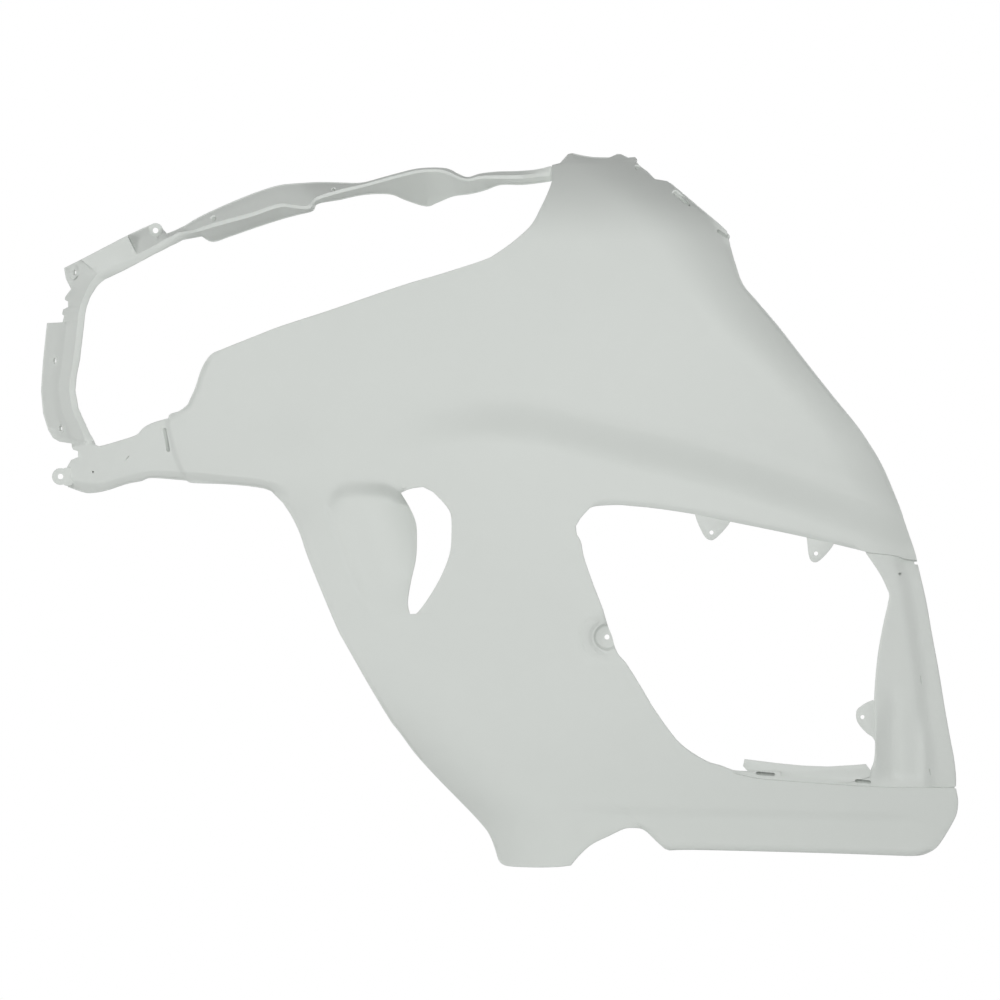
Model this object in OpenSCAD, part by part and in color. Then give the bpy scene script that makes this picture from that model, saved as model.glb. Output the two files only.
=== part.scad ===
// The left front side fairing of a touring motorcycle: one moulded shell of
// plastic about three millimetres thick, with its wrapping front frame, its
// air vent and its fixing lugs. X runs to the rear of the bike, Z runs up and
// Y runs from the outer face towards the middle of the bike. The origin is at
// the side screw's bore.

/* [Panel] */
// Length from the front flange to the rear corner
panel_length = 917; // [840:1:1000]
// Height from the lower edge to the top flange
panel_height = 715; // [660:1:780]
// Thickness of the moulded skin
wall = 3; // [2:0.25:4]
// Width of one facet of the curved skin
facet = 15; // [13:1:24]

/* [Outer form] */
// How far the nose sweeps in towards the middle of the bike
nose_sweep = 290; // [230:5:340]
// How far the rear edge curves in
tail_sweep = 15; // [5:1:30]
// How far the skin leans in at the top
lean_in = 45; // [25:1:60]
// Extra curl of the skin at the very top
crown_roll = 50; // [30:1:60]
// Curl along the sloping rear edge
edge_roll = 24; // [10:1:30]
// Curl along the lower front edge
front_roll = 22; // [8:1:30]
// Height of the step under the side ridge
ridge_step = 15; // [6:1:20]
// Bulge of the cheek in front of the vent
cheek_bulge = 12; // [2:1:16]
// How far the lower skirt tucks in
tuck_under = 24; // [10:1:40]
// Set-back of the front arm under the overlapping part
joggle = 2; // [1:0.25:3]
// Depth of the channel along the rear column
column_channel = 4; // [0:0.5:6]

/* [Air vent] */
// Set-back of the vent's floor along its upper and front sides
scoop_step = 7; // [4:0.5:10]
// How much deeper the vent's floor goes at its outlet
scoop_depth = 26; // [14:1:34]

/* [Screw boss] */
// Bore for the side screw
screw_bore_d = 5; // [3.5:0.25:6]
// Radius of the flat seat round the side screw
seat_r = 14.5; // [11:0.5:17]
// Set-back of that seat from the skin
seat_depth = 9; // [6:0.5:12]
// Width of the dished slope round the seat
dish_w = 11; // [6:0.5:13]

/* [Lugs and tabs] */
// Turn of the frame's front end towards the front of the bike, in degrees
front_turn = 52; // [40:1:58]
// Bores in the lugs of the front frame
lug_bore_d = 5.5; // [3.5:0.25:7]
// Radius of the flat lug ends
lug_r = 8.5; // [7:0.5:10]
// Bores in the front flange
flange_bore_d = 5.5; // [3:0.5:6]
// Bores in the tabs and the ear at the engine opening
tab_bore_d = 4; // [2.5:0.25:5]
// Thickness of the lugs, tabs and flanges
tab_t = 3; // [2:0.25:4]

/* [Hidden] */
// Stretch of the measured outlines along X and Z.
kx = panel_length / 917;
kz = panel_height / 715;

// Small functions.
function ease(t) = let (c = min(max(t, 0), 1)) c * c * (3 - 2 * c);
function back_to_front(p) = [for (i = [len(p) - 1:-1:0]) p[i]];
function joined(runs) =
    [for (i = [0:len(runs) - 1]) for (j = [i == 0 ? 0 : 1:len(runs[i]) - 1]) runs[i][j]];

function ring(runs) = [for (r = runs) each r];

// A smooth value read from a short table of [place, value] pairs.
function knot(t, a, i = 0) = i >= len(t) - 2 || a < t[i + 1][0] ? i : knot(t, a, i + 1);
function tilt(t, i) = let (p = max(i - 1, 0), q = min(i + 1, len(t) - 1))
    (t[q][1] - t[p][1]) / (t[q][0] - t[p][0]);
function along(t, a) =
    let (i = knot(t, a), h = t[i + 1][0] - t[i][0], s = min(max((a - t[i][0]) / h, 0), 1))
    t[i][1] * (1 + 2 * s) * (1 - s) * (1 - s) + t[i + 1][1] * s * s * (3 - 2 * s)
    + h * s * (1 - s) * (tilt(t, i) * (1 - s) - tilt(t, i + 1) * s);

// A smooth line through hand-set points, cut into n equal lengths.
function bow(a, b, c, d, t) =
    0.5 * (2 * b + (c - a) * t + (2 * a - 5 * b + 4 * c - d) * t * t
    + (3 * b - a - 3 * c + d) * t * t * t);
function bowed(p) = [
    for (i = [0:len(p) - 2]) for (s = [0:3])
        bow(p[max(i - 1, 0)], p[i], p[i + 1], p[min(i + 2, len(p) - 1)], s / 4),
    p[len(p) - 1]];
function distances(p) =
    [for (i = 0, s = 0; i < len(p); s = s + (i < len(p) - 1 ? norm(p[i + 1] - p[i]) : 0), i = i + 1) s];
function stepped(p, n) =
    let (d = distances(p), m = len(p) - 1,
        xs = [for (i = [0:m]) [d[i], p[i][0]]],
        zs = [for (i = [0:m]) [d[i], p[i][1]]])
    [for (k = [0:n])
        k == 0 ? p[0] : k == n ? p[m] : [lookup(d[m] * k / n, xs), lookup(d[m] * k / n, zs)]];
function run(p, n) = stepped(bowed(p), n);

// Depth of the outer face behind its widest point.
ridge_line = [[-337, 182], [-307, 196], [-227, 217], [-167, 232], [-127, 237], [-87, 235], [-47, 228],
    [13, 213], [83, 196], [153, 175], [223, 151], [298, 122], [323, 112]];
slope_edge = [[75, 310], [170, 276], [241, 226], [310, 172], [389, 124], [431, 91], [478, 28]];
front_edge = [[-225, -105], [-191, -122], [-150, -161], [-83, -217], [-22, -253],
    [47, -286], [103, -307], [140, -322]];
scoop_front = [[19, -236], [40, -245], [69, -258], [92, -266], [107, -272], [125, -278],
    [138, -280], [150, -281]];
scoop_roof = [[-287, 138], [-280, 143], [-275, 148], [-267, 155], [-252, 157.5], [-222, 156], [-206, 149],
    [-184, 151], [-157, 145]];
vent_edge = [[23, -199], [35, -199], [55, -196], [78, -191], [99, -190], [114, -191],
    [129, -197], [144, -206]];
land_line_front = [[124, -136], [151, -142], [174, -144], [213, -147], [263, -150]];
land_line_rear = [[263, -150], [290, -151], [349, -151]];
column_line = [[243, 89], [259, 85], [286, 82], [298, 78.5], [310, 77], [323, 76]];
// The fold at the front of the rear column's channel, as x at each z.
channel_line = [[-151, 316], [-109, 314], [-72, 308], [-39, 305], [-5, 300], [25, 295.7], [52, 291], [78, 284]];
// Width of the small steps between overlapping surfaces.
step_w = 1.2;
// Set-back of the small flange behind the top edge.
crown_set = 5;
low_edge = [[-547, 153], [-514, 145], [-465, 156], [-421, 156.5], [-386, 153], [-343, 148], [-307, 137]];

function sweep_in(x) =
    nose_sweep * pow(max(0, 143 - x) / 708, 2.3) + tail_sweep * pow(max(0, x - 143) / 207, 2);
function upright(z) =
    lean_in * pow(max(0, z - 237) / 240, 2) + crown_roll * pow(max(0, z - 395) / 80, 2.2)
    + tuck_under * pow(max(0, -60 - z) / 170, 2);
function slope_curl(x, z) =
    let (t = 0.8 * (along(slope_edge, z) - x), high = ease((z - 200) / 200))
    edge_roll * (0.45 + 0.55 * high) * ease((z - 55) / 40)
    * pow(min(1, max(0, 1 - t / (38 + 22 * high))), 2.2);
function front_curl(x, z) =
    let (t = 0.85 * (x - along(front_edge, z)), low = ease((-10 - z) / 160))
    front_roll * (0.12 + 0.88 * low) * ease((150 - z) / 50)
    * pow(min(1, max(0, 1 - t / 60)), 2.2);
function low_curl(x, z) =
    6 * ease((-315 - x) / 25) * pow(min(1, max(0, 1 - (z - along(low_edge, x)) / 9)), 1.2);
function side_ridge(x, z) =
    let (t = along(ridge_line, x) - z)
    ridge_step * ease((x + 265) / 190)
    * (ease(t / 42) * (1 - 0.7 * ease((t - 42) / 150)) - 0.16 * exp(-pow((t + 10) / 16, 2)));
function cheek(x, z) =
    -cheek_bulge * exp(-pow((x + 322) / 75, 2) - pow((z - 165) / 48, 2));
function scoop(x, z) =
    let (a = x - along(scoop_front, z), b = x - along(vent_edge, z))
    (scoop_step * ease(a / 13) + scoop_depth * pow(max(0, a) / 85, 2.6))
    * ease((along(scoop_roof, x) - z) / 10) * ease((z - 12) / 48) * (1 - ease((b - 1.5) / 9));
// The rear column and the land under the engine opening lie a step deeper.
function land(x, z) =
    (joggle + column_channel * ease((x - along(channel_line, z)) / 14))
    * ease((z - along(joined([land_line_front, land_line_rear]), x)) / step_w)
    * ease((along(column_line, x) - z) / step_w) * ease((x - 123) / 8);
function depth(x, z) =
    sweep_in(x) + upright(z) + slope_curl(x, z) + front_curl(x, z) + low_curl(x, z)
    + side_ridge(x, z) + cheek(x, z) + (x > 123 && z < 90 && z > -155 ? land(x, z) : 0)
    + (x < -150 && z < 165 && z > 0 ? scoop(x, z) : 0);
// The skin's thickness measured along Y, which grows where the skin is steep.
function through(x, z) =
    let (sx = (depth(x + 1, z) - depth(x - 1, z)) / 2, sz = (depth(x, z + 1) - depth(x, z - 1)) / 2)
    wall * min(2, sqrt(1 + sx * sx + sz * sz));
// A point of the skin as [x, z, depth, thickness].
function skin(p, back = 0) = [p[0], p[1], depth(p[0], p[1]) + back, through(p[0], p[1])];
function skins(run, back = 0) = [for (p = run) skin(p, back)];

// Lines of the outline and between its parts, from the front joint round.
function lifted(run) = [for (p = run) p + [0, step_w]];
joint_low = joined([run([[-421, 156.5], [-423.5, 164]], 1),
    run([[-423.5, 164], [-427, 171], [-432.5, 185]], 7)]);
joint_high = run([[-432.5, 185], [-436, 199], [-439, 213], [-439, 218.5]], 4);
lamp_front = run([[-439, 218.5], [-437, 223], [-428, 226], [-420, 232], [-417, 238], [-412, 249],
    [-406, 267], [-400, 278], [-394, 284], [-387, 287]], 7);
lamp_long = run([[-387, 287], [-352, 301], [-326, 311], [-277, 327], [-207, 351], [-170, 362], [-132, 374],
    [-116, 380]], 15);
lamp_rear = run([[-116, 380], [-104, 388], [-92, 397], [-76, 412], [-66, 430], [-59, 445], [-55, 456]], 8);
lamp_end = run([[-55, 456], [-55, 463], [-55, 470.5]], 2);
crown = run([[-55, 470.5], [-47, 473.5], [-12, 475], [21, 475.5], [30, 474.5]], 12);
crown_edge = [[-55, 472], [-47, 474], [-39, 483], [-35, 484], [-24, 481.5], [-14, 480], [3, 479.5],
    [10, 483], [14, 483], [21, 479.5], [28, 480], [30, 478], [30.5, 476]];
slope_foot = run([[310, 77], [307, 88], [297, 117], [296, 121]], 8);
slope_low = run([[296, 121], [290, 137], [276, 170], [262, 194], [248, 214], [226, 241], [196, 279],
    [172, 310], [150, 336], [136, 353], [128, 375], [124, 389], [121, 401]], 27);
slope_mid = run([[121, 401], [118, 408], [91, 431], [65, 453]], 4);
slope_top = [[65, 453], [60, 456], [48, 458], [40, 466], [33, 471], [30, 474.5]];
ridge = run([joint_high[0], [-377, 188], each [for (i = [1:10]) ridge_line[i]], slope_low[0]], 56);
chin = joined([run([[-421, 156.5], [-414, 154], [-386, 153], [-360, 151], [-343, 148.5]], 5),
    [[-343, 148.5], [-336, 146], [-328, 138], [-324, 134]]]);
vent_brow = run([[-324, 134], [-307, 140], [-282, 149], [-262, 155.5], [-237, 157], [-219, 154], [-206, 144]], 14);
vent_top = [[-206, 144], [-200, 147], [-193, 149], [-184, 150], [-174, 145], [-167, 138]];
waist = run([[-167, 138], [-107, 129], [-57, 122], [-27, 118]], 10);
engine_top = joined([[[-27, 118], [-22, 124], [-17, 129]],
    run([[-17, 129], [-10, 131], [10, 132], [24, 131], [45, 129], [83, 123.5], [125, 115], [193, 101],
    [248, 88], [259, 85]], 19)]);
column_top = run([[259, 85], [286, 82], [298, 78.5], [310, 77]], 5);
vent_front = run([[-197, 23], [-199, 35], [-196, 55], [-191, 78], [-190, 99], [-191, 114], [-197, 129],
    [-206, 144]], 14);
vent_rear = run([[-197, 23], [-190, 24], [-176, 43], [-164, 65], [-157, 85], [-155.5, 104], [-156, 121],
    [-160, 130], [-167, 138]], 11);
front_high = run([[-262, -6], [-270, 9], [-286, 47], [-300, 82], [-307, 103], [-315, 120], [-324, 134]], 14);
front_low = run([[-109, -222], [-112, -212], [-116, -201], [-122, -191], [-137, -174], [-161, -150], [-189, -120],
    [-207, -96], [-217, -83], [-237, -50], [-253, -22], [-262, -6]], 18);
floor_foot = run([[-262, -6], [-232, 5], [-212, 14], [-197, 23]], 8);
mid_foot = run([[-197, 23], [-147, 25], [-67, 27], [-4, 28]], 14);
engine_front_high = joined([run([[-4, 28], [-11, 46], [-17, 62], [-23, 80], [-26, 95], [-30, 103],
    [-31, 111]], 10), [[-31, 111], [-27, 118]]]);
engine_front_low = run([[126, -133], [113, -128], [100, -124], [79, -111], [66, -98], [48, -73], [36, -53],
    [25, -35], [18, -24.5], [12, -18], [8, -10], [5, 1], [1, 11], [-4, 28]], 18);
foot = joined([run([[-109, -222], [-105, -227], [-96, -229.5], [-70, -230.5], [-49, -230], [-36, -228.5]], 6),
    run([[-36, -228.5], [-28, -219], [-16, -208], [2, -199], [17, -192], [26, -191], [35, -192], [41, -196]], 7),
    [[41, -196], [49, -204], [58, -212], [62, -213.5]]]);
skirt_joint = joined([[[62, -213.5], [65, -210]], run([[65, -210], [83, -187], [105, -160], [124, -136]], 6)]);
skirt_low = run([[62, -213.5], [93, -213], [213, -216], [299, -219]], 17);
skirt_rear = run([[299, -219], [313, -218.5], [323, -215], [331, -209], [341, -194], [349, -179], [351, -169],
    [351, -162], [349, -151]], 7);
land_top = run(land_line_front, 10);
land_top_rear = run(land_line_rear, 6);
engine_foot = run([[126, -133], [142, -134], [193, -134], [263, -134]], 10);
column_step = [for (p = column_top) p - [0, step_w]];
column_front = run([[263, -134], [267, -123], [268, -105], [267, -65], [270, -24], [275, 7], [282, 39],
    [281, 46], [273, 63], column_step[0]], 16);
column_rear = run([lifted(land_top_rear)[6], [349, -139], [347, -121], [343, -100], [338, -72], [332, -35],
    [325, 3], [319, 37], column_step[5]], 17);
// The front arm, set back under the joint.
joint = joined([joint_low, joint_high]);
arm_joint = [for (p = joint) p - [1.2, 0]];
arm_low = run([[-539, 150], [-523, 144.5], [-514, 144], [-500, 146.5], [-480, 153], [-465, 156], [-456, 159],
    [-427, 157], arm_joint[0]], 9);
arm_front = [[-539, 150], [-540, 157], [-540, 164], [-540, 170], [-536, 177], [-529, 180], [-529, 183], [-529, 186],
    [-533, 187], [-534, 187.5], [-534.5, 188.5], [-535, 189], [-535, 190]];
arm_top = joined([[[-535, 190], [-523, 191], [-511, 192]], run([[-511, 192], [-507, 191], [-489, 196], [-471, 202],
    [-464, 209], [-455, 214], arm_joint[len(joint) - 1]], 6)]);

// The front frame by stations: outer, middle and inner line, each as
// [x, z, set-back from the skin's form], then the share of steepness.
// Its front end turns towards the front of the bike.
function nose(outer, middle, inner) =
    [[outer[0], outer[1], (middle[0] - outer[0]) * tan(front_turn)], [middle[0], middle[1], 0],
        [inner[0], inner[1], 0.5], 1 / cos(front_turn)];
frame = [
    nose([-535.5, 193.5], [-520, 196], [-513, 196.5]),
    nose([-548, 195.5], [-520.5, 199], [-514.5, 199.5]),
    nose([-554, 199], [-522, 203], [-517, 203.5]),
    nose([-559, 207.5], [-524.5, 208.5], [-519.5, 209]),
    nose([-564, 224], [-533, 228], [-528.5, 229]),
    nose([-566, 246], [-536, 247], [-531.5, 247]),
    nose([-565, 262], [-534.5, 262], [-530, 262]),
    nose([-564, 276], [-532, 276], [-527, 277]),
    nose([-561.5, 300], [-529, 301], [-524, 302]),
    nose([-560, 314], [-527.5, 315], [-522.5, 316]),
    nose([-544.5, 314.5], [-527.2, 317], [-522.2, 318]),
    nose([-543, 321], [-527, 321], [-522, 321]),
    nose([-545, 323], [-526.5, 323.5], [-521.5, 324]),
    nose([-544, 327.5], [-525.5, 328.5], [-520.5, 329]),
    nose([-539, 330], [-524.5, 332], [-519.5, 332]),
    nose([-539, 335.5], [-523, 336], [-518, 336]),
    nose([-542, 337], [-522, 338.5], [-517, 339]),
    nose([-542, 340], [-520.5, 341.5], [-515.5, 342]),
    nose([-536, 348], [-517, 350], [-511, 349]),
    nose([-541, 358], [-514, 354.5], [-509, 351.5]),
    nose([-543, 369], [-511, 358.5], [-506, 354.5]),
    [[-527, 377, 20], [-508, 361, 0], [-502, 357.5, 1], 1.5],
    [[-525.8, 377.6, 14], [-507, 361.6, 0], [-501, 358, 1], 1.3],
    [[-503, 389.5, 12], [-486, 372, 0], [-483, 366.5, 1], 1.3],
    [[-480, 401.5, 12], [-469.5, 380.5, 0], [-466.5, 375.2, 1], 1.3],
    [[-478.8, 402.1, 30], [-468.5, 381.1, 0], [-465.5, 375.7, 1], 2],
    [[-464, 409, 32], [-455, 388, 0], [-452, 383, 1], 2],
    [[-453.5, 413.5, 32], [-447, 392.5, 0], [-443.5, 387, 2], 2],
    [[-445, 409, 28], [-441, 396, 0], [-437, 390.5, 2], 2],
    [[-440, 403.5, 20], [-435, 399, 0], [-430.5, 393.5, 3], 1.8],
    [[-431.5, 407, 18], [-428.5, 403, 0], [-424, 397, 4], 1.7],
    [[-423, 411, 16], [-411, 406.5, 0], [-405, 400.5, 12], 1.8],
    [[-408, 420, 20], [-397, 411, 0], [-394, 395, 26], 2],
    [[-388, 429.5, 24], [-379, 416, 0], [-375, 401, 28], 2],
    [[-367, 438.5, 28], [-355, 422.5, 0], [-349, 410, 28], 2],
    [[-346, 446.5, 30], [-327, 432, 0], [-324, 418, 28], 2],
    [[-327, 452, 32], [-313, 430.5, 0], [-309, 422, 20], 2],
    [[-306, 454, 34], [-299, 429.5, 0], [-294, 426, 10], 2],
    [[-285, 455, 34], [-291.5, 438, 0], [-289, 433, 10], 2],
    [[-265, 454.5, 26], [-271, 445, 0], [-267, 437, 16], 2],
    [[-245, 454.5, 8], [-247, 451, 0], [-243, 442, 18], 2],
    [[-224, 460, 4], [-223, 457.5, 0], [-217, 442.5, 26], 2],
    [[-211, 463.5, 4], [-210, 461, 0], [-201, 436.5, 40], 2],
    [[-190, 468.5, 4], [-189, 466, 0], [-181, 430.5, 52], 2],
    [[-170, 469.5, 4], [-170, 467, 0], [-170, 434, 46], 2],
    [[-158, 468, 6], [-158, 464, 0], [-154, 440.5, 32], 2],
    [[-148, 463, 8], [-148, 459, 2], [-139, 442.5, 22], 2],
    [[-139, 460, 8], [-138, 457.5, 2], [-129, 444.5, 18], 2],
    [[-127, 463.5, 10], [-126, 460, 0], [-119, 447.5, 16], 2],
    [[-110, 465.5, 10], [-109, 460, 0], [-106, 452, 12], 2],
    [[-90, 466, 8], [-89, 460, 0], [-85, 452, 8], 2],
    [[-71, 467.5, 10], [-70, 462, 6], [-67, 454, 12], 2],
    [[-56.5, 471, 10], [-56.5, 463, 8], [-56.5, 455.5, 12], 2]];
function station(row) =
    [for (p = [row[0], row[1], row[2]])
        [p[0], p[1], depth(row[1][0], row[1][1]) + joggle + p[2], wall * row[3]]];
frame_rows = [skins([arm_top[0], arm_top[1], arm_top[2]], joggle),
    each [for (row = frame) station(row)],
    skins(back_to_front(lamp_end))];
function rail(rows, i) = [for (row = rows) row[i]];

// Rows of points across a four-sided piece of skin, from its lower line to
// its upper line, with about one point to each facet width.
function share(p, u) = let (s = u * (len(p) - 1), i = min(floor(s), len(p) - 2))
    p[i] + (p[i + 1] - p[i]) * (s - i);
function blend(low, high, left, right, a, b, u, v) =
    (1 - v) * share(low, u) + v * share(high, u) + (1 - u) * a + u * b
    - (1 - u) * (1 - v) * low[0] - u * (1 - v) * low[len(low) - 1]
    - (1 - u) * v * high[0] - u * v * high[len(high) - 1];
function rows_of(low, high, left, right) =
    let (n = len(left) - 1, dl = distances(left), dr = distances(right))
    [for (j = [0:n])
        let (m = max(2, round(norm(right[j] - left[j]) / facet)))
        j == 0 ? low : j == n ? high :
        [for (i = [0:m]) i == 0 ? left[j] : i == m ? right[j]
            : blend(low, high, left, right, left[j], right[j], i / m, (dl[j] / dl[n] + dr[j] / dr[n]) / 2)]];

// Triangles between two rows that may have different numbers of points.
function zip(a, b) =
    let (n = len(a) - 1, m = len(b) - 1)
    [for (i = [0:n - 1]) let (j = min(max(ceil(((2 * i + 1) * m - n) / (2 * n)), 0), m))
        [a[i], a[i + 1], b[j]],
     for (j = [0:m - 1]) let (i = min(max(floor(((2 * j + 1) * n - m) / (2 * m)) + 1, 0), n))
        [a[i], b[j + 1], b[j]]];
function sheet(rows) = [for (j = [0:len(rows) - 2]) each zip(rows[j], rows[j + 1])];

// The side screw's seat gives the part's origin.
seat_y = depth(0, 0) + seat_depth;
function front(p) = [p[0] * kx, p[2] - seat_y, p[1] * kz];
function rear(p) = [p[0] * kx, p[2] - seat_y + p[3], p[1] * kz];
function edge_band(loop) = [for (i = [0:len(loop) - 1])
    let (p = loop[i], q = loop[(i + 1) % len(loop)])
    if (p != q) each [[front(p), rear(p), rear(q)], [front(p), rear(q), front(q)]]];

skin_rows = [
    rows_of(joined([chin, vent_brow, vent_top, waist, engine_top, column_top]), ridge,
        joint_low, slope_foot),
    rows_of(ridge, crown, joined([joint_high, lamp_front, lamp_long, lamp_rear, lamp_end]),
        joined([slope_low, slope_mid, slope_top])),
    rows_of(floor_foot, vent_brow, front_high, vent_front),
    rows_of(mid_foot, waist, vent_rear, engine_front_high),
    rows_of(joined([foot, skirt_joint, [land_top[0], lifted(land_top)[0], engine_foot[0]]]),
        joined([floor_foot, mid_foot]), front_low, engine_front_low),
    rows_of(skirt_low, joined([land_top, land_top_rear]), skirt_joint, skirt_rear),
    [land_top, lifted(land_top), engine_foot],
    [land_top_rear, each rows_of(lifted(land_top_rear), column_step,
        ring([[lifted(land_top)[10]], column_front]), column_rear), column_top]];
arm_rows = rows_of(arm_low, arm_top, arm_front, arm_joint);

sheets = [
    for (rows = skin_rows) sheet([for (row = rows) skins(row)]),
    sheet([for (row = arm_rows) skins(row, joggle)]),
    sheet([for (j = [0:len(joint) - 1]) [skin(arm_joint[j], joggle), skin(joint[j])]]),
    sheet([skins(crown), skins(crown_edge, crown_set)]),
    sheet(frame_rows)];
loops = [
    ring([skins(arm_low, joggle),
        skins(ring([chin, back_to_front(front_high), back_to_front(front_low), foot, skirt_low,
            skirt_rear, column_rear, slope_foot, slope_low, slope_mid, slope_top,
            [slope_top[5]]])),
        skins(back_to_front(crown_edge), crown_set), [skin(crown[0])],
        back_to_front(rail(frame_rows, 0)), skins(back_to_front(arm_front), joggle)]),
    ring([skins(ring([back_to_front(lamp_rear), back_to_front(lamp_long), back_to_front(lamp_front)])),
        skins(back_to_front([for (i = [2:len(arm_top) - 1]) arm_top[i]]), joggle),
        rail(frame_rows, 2)]),
    skins(ring([vent_top, back_to_front(vent_rear), vent_front])),
    skins(ring([engine_top, back_to_front(column_front), back_to_front(engine_foot),
        engine_front_low, engine_front_high]))];

module moulded_skin() {
    triangles = [
        for (s = sheets) for (t = s) each [
            [front(t[0]), front(t[2]), front(t[1])],
            [rear(t[0]), rear(t[1]), rear(t[2])]],
        for (loop = loops) for (t = edge_band(loop)) [t[0], t[2], t[1]]];
    polyhedron(
        points = [for (t = triangles) each t],
        faces = [for (i = [0:len(triangles) - 1]) [3 * i, 3 * i + 1, 3 * i + 2]],
        convexity = 8);
}

// Flat plates and pins along Y, placed on the measured outline.
module plate(outline, y, t) {
    translate([0, y + t - seat_y, 0])
        rotate([90, 0, 0])
            linear_extrude(t) polygon([for (p = outline) [p[0] * kx, p[1] * kz]]);
}
module pin(place, y, d, t, turn = 0, start = 0) {
    translate([place[0] * kx, y - seat_y, place[1] * kz])
        rotate([-90, 0, -turn])
            translate([0, 0, start])
                cylinder(d = d, h = t, $fn = 48);
}

// A place across the front frame at one station.
function across(row, x) =
    let (s = station(row), t = (x - s[0][0]) / (s[1][0] - s[0][0])) s[0][2] + (s[1][2] - s[0][2]) * t;
// Round flat eyes with a bore as [middle, depth of the face, turn, bore size, radius].
eyes = [
    [[-532.5, 364.5], across(frame[20], -532.5) - 1, front_turn, lug_bore_d, lug_r],
    [[-451.5, 406.5], station(frame[27])[0][2] - 1, 0, lug_bore_d, lug_r - 1],
    [[-552.5, 276], across(frame[7], -552.5) - 0.8, front_turn, flange_bore_d, lug_r - 3.5],
    [[-546.5, 208.5], across(frame[3], -546.5) - 0.8, front_turn, flange_bore_d, lug_r - 3.5],
    [[-546.5, 160.5], depth(-535, 160) + joggle + 1, 0, lug_bore_d, lug_r]];
// Tabs and the ear as [bores, outline, depth of the face].
tabs = [
    [[[104.5, 104.5]], [[87, 129], [88.5, 119], [96.5, 101], [102, 96.5], [108, 97], [124, 114.5],
        [125, 122]], depth(106, 120) + 1],
    [[[209, 83.5]], [[199, 106], [200, 96], [202, 78], [207, 74], [213, 76], [227, 91.5],
        [228, 100]], depth(213, 100) + 1],
    [[[255.5, -80]], [[273, -62], [261, -64.5], [254, -69], [249, -73], [249, -83], [254, -90.5],
        [260.5, -97], [266, -100], [273, -108]], depth(269, -83) + 1],
    [[], [[-546.5, 169], [-533, 170], [-533, 150], [-546.5, 152]], depth(-535, 160) + joggle + 1]];
// The ledge behind the land at the foot of the engine opening.
ledge = [[137.5, -122], [170, -126], [195, -128.5], [220, -129.5], [246, -128], [259, -127], [264, -134],
    [263, -140], [241, -146], [193, -144], [170, -141], [144, -138], [136, -129]];
// The recess in the land between the two ledge slots, in front of the ledge.
recess = [[173, -130], [174, -139], [236, -142.5], [240, -138.5], [241, -130]];
// Slots as [middle, length, width, turn, how deep they go].
slots = [
    [[-437.5, 197], 24, 3.5, 80, 0.7 * wall],
    [[75, 438], 21, 3, 41, 20],
    [[115.5, 403], 13, 3, 36, 20],
    [[158.5, -137], 19, 3.5, 5, 0.7 * wall],
    [[256, -144.5], 16, 3.5, 6, 0.7 * wall],
    [[311.5, 74], 9, 3, 0, 20],
    [[350, -150.5], 5, 2, 0, 20]];
// Small round holes as [place, size].
holes = [[[30, 469], 3.5], [[293, 63], 3], [[-393, 418], 4.5], [[-273, 447], 2.5], [[-514, 165], 2]];

module slot(s) {
    translate([s[0][0] * kx, depth(s[0][0], s[0][1]) - seat_y - 6, s[0][1] * kz])
        rotate([0, s[3], 0])
            translate([-s[1] / 2, 0, -s[2] / 2])
                cube([s[1], 6 + s[4], s[2]]);
}
// Room in the skin in front of an eye's flat face and behind it.
module eye_clearance(e) {
    pin(e[0], e[1], 2 * e[4] - 2, 30, e[2], -30);
    pin(e[0], e[1], 2 * e[4] - 2, 20, e[2], tab_t);
}

// The dished seat of the side screw: the pocket, and the wall behind it.
bowl_r = seat_r * 0.7;
module seat_pocket() {
    dish = seat_depth * 0.4;
    rotate([-90, 0, 0]) {
        translate([0, 0, -seat_depth - 6])
            cylinder(r1 = seat_r + dish_w * (1 + 6 / dish), r2 = seat_r, h = 6 + dish, $fn = 64);
        translate([0, 0, dish - seat_depth - 0.01])
            cylinder(r1 = seat_r, r2 = bowl_r, h = seat_depth - dish + 0.01, $fn = 64);
    }
}
module seat_wall() {
    rotate([-90, 0, 0]) {
        translate([0, 0, wall - seat_depth - 0.4])
            cylinder(r = seat_r + dish_w, h = wall, $fn = 64);
        translate([0, 0, wall - seat_depth])
            cylinder(r1 = seat_r + wall + 1, r2 = bowl_r + wall, h = seat_depth, $fn = 64);
    }
}
module engine_opening() {
    plate(ring([[[93, 117]], [for (i = [9:18]) engine_front_low[i]],
        [for (i = [0:5]) engine_front_high[i]]]), -20, 60);
}

module fairing_shell() {
    color("white")
        difference() {
            union() {
                difference() {
                    moulded_skin();
                    for (e = eyes) eye_clearance(e);
                    plate(recess, depth(recess[1][0], recess[1][1]) - 6, 6 + 2 * wall);
                }
                for (e = eyes) pin(e[0], e[1], 2 * e[4], tab_t, e[2]);
                for (t = tabs) plate(t[1], t[2], tab_t);
                plate(ledge, depth(193, -137) + 1.5, tab_t);
                difference() {
                    seat_wall();
                    engine_opening();
                }
            }
            seat_pocket();
            pin([0, 0], seat_y - 1, screw_bore_d, 2 * wall + 2);
            for (e = eyes) pin(e[0], e[1], e[3], tab_t + 2, e[2], -1);
            for (t = tabs) for (bore = t[0]) pin(bore, t[2] - 1, tab_bore_d, tab_t + 2);
            for (s = slots) slot(s);
            for (h = holes) pin(h[0], depth(h[0][0], h[0][1]) - 8, h[1], 30);
        }
}

fairing_shell();
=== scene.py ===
"""Looks of the left front side fairing of a touring motorcycle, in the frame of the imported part.

The shell's outlines and form are the part's own, in its millimetres, on a mesh
four times finer, with softened edges and the small folds that the solid leaves out.
"""

import math

import bmesh
import bpy
import numpy as np
from mathutils import Matrix, Vector


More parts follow.
